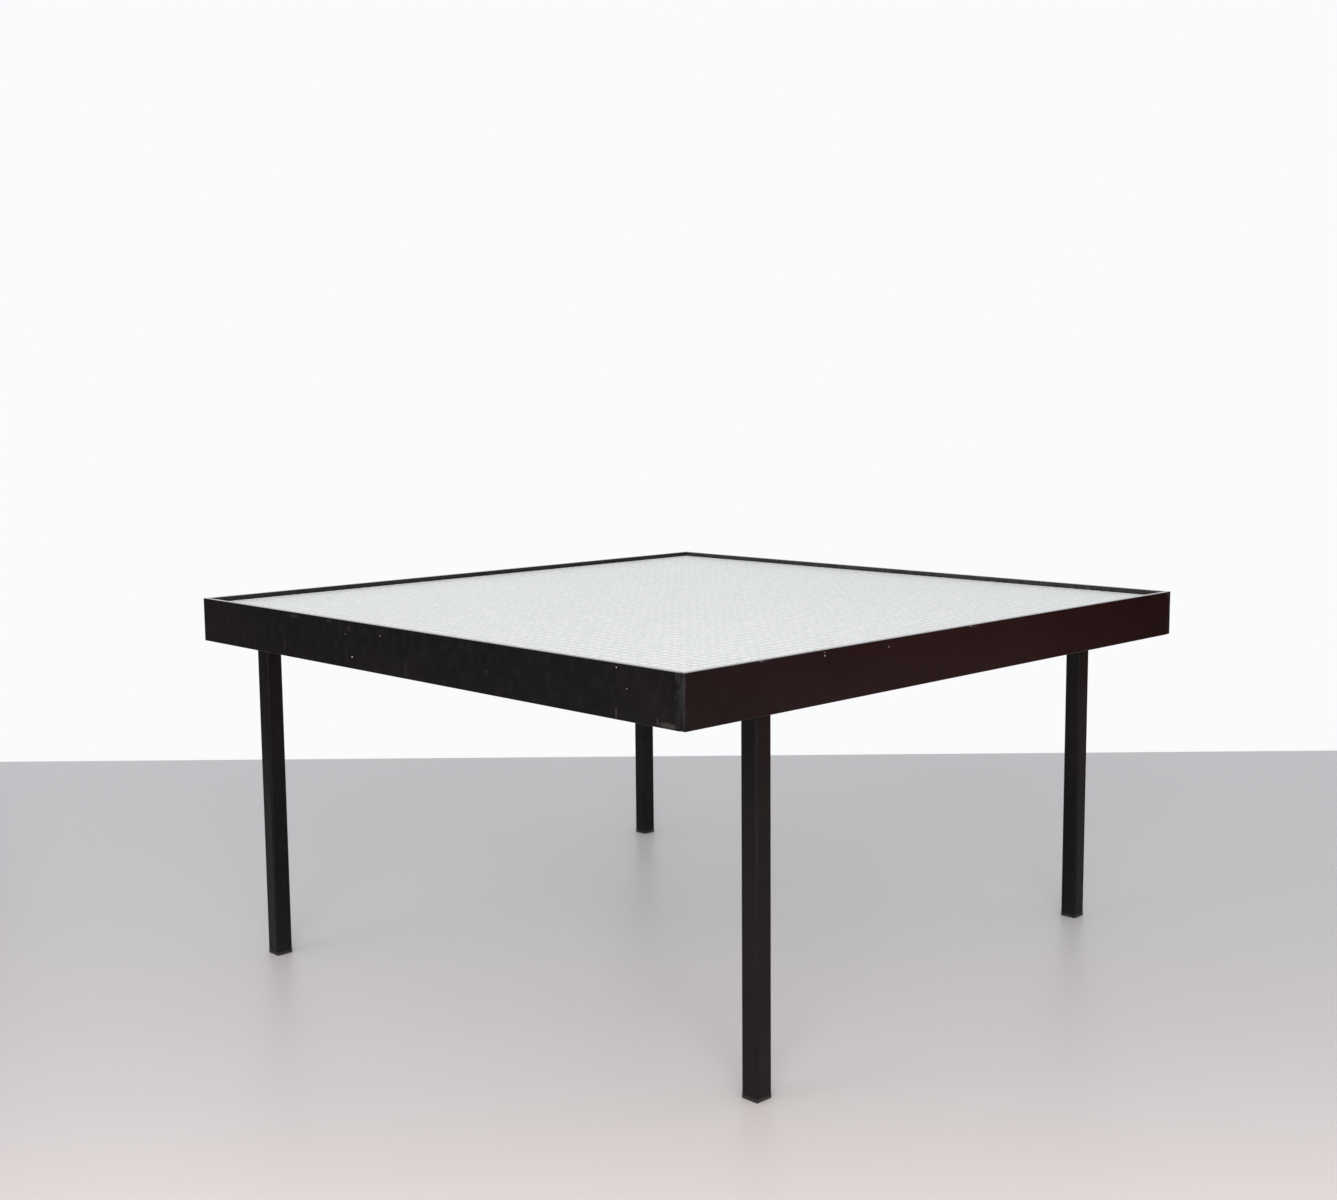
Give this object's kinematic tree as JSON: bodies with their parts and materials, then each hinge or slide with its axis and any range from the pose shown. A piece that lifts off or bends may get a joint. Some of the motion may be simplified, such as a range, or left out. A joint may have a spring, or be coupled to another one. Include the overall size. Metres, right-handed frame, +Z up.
{
  "type": "coffee table",
  "caption": "Low square table with a black flat-bar steel frame on slim square legs set in from its corners, and a loose pane of pale wired glass sunk inside the raised rim.",
  "frame": {"origin": "on the floor, under the middle of the table", "axes": "+Z up; +X along the front side towards the right; +Y from the front side to the back"},
  "size_m": [0.8, 0.8, 0.408],
  "materials": {
    "frame_paint": "satin black lacquer, rubbed and chipped at the corners",
    "cast_glass": "cast wired glass, faintly green, dimpled top and ground edges",
    "mesh_wire": "bright drawn wire",
    "glazing_tape": "matt closed-cell tape",
    "foot_plastic": "moulded, scuffed underneath",
    "fastener_steel": "zinc plated"
  },
  "bodies": {
    "frame": {"rail_front": "frame_paint", "rail_right": "frame_paint", "rail_back": "frame_paint", "rail_left": "frame_paint", "rest_front": "frame_paint", "rest_right": "frame_paint", "rest_back": "frame_paint", "rest_left": "frame_paint", "tape_front": "glazing_tape", "tape_right": "glazing_tape", "tape_back": "glazing_tape", "tape_left": "glazing_tape", "leg_plate_front": "frame_paint", "leg_plate_right": "frame_paint", "leg_plate_back": "frame_paint", "leg_plate_left": "frame_paint", "leg_front": "frame_paint", "leg_right": "frame_paint", "leg_back": "frame_paint", "leg_left": "frame_paint", "foot_glide_front": "foot_plastic", "foot_glide_right": "foot_plastic", "foot_glide_back": "foot_plastic", "foot_glide_left": "foot_plastic", "leg_screws": "fastener_steel", "leg_washers": "fastener_steel", "leg_nuts": "fastener_steel", "corner_welds": "frame_paint", "rest_welds": "frame_paint", "leg_welds": "frame_paint"},
    "glass": {"glass_pane": "cast_glass", "wire_mesh": "mesh_wire"}
  },
  "joints": [
    {"name": "glass_lift", "type": "slide", "parent": "frame", "child": "glass", "axis": [0, 0, 1], "range_m": [0, 0.08]}
  ]
}
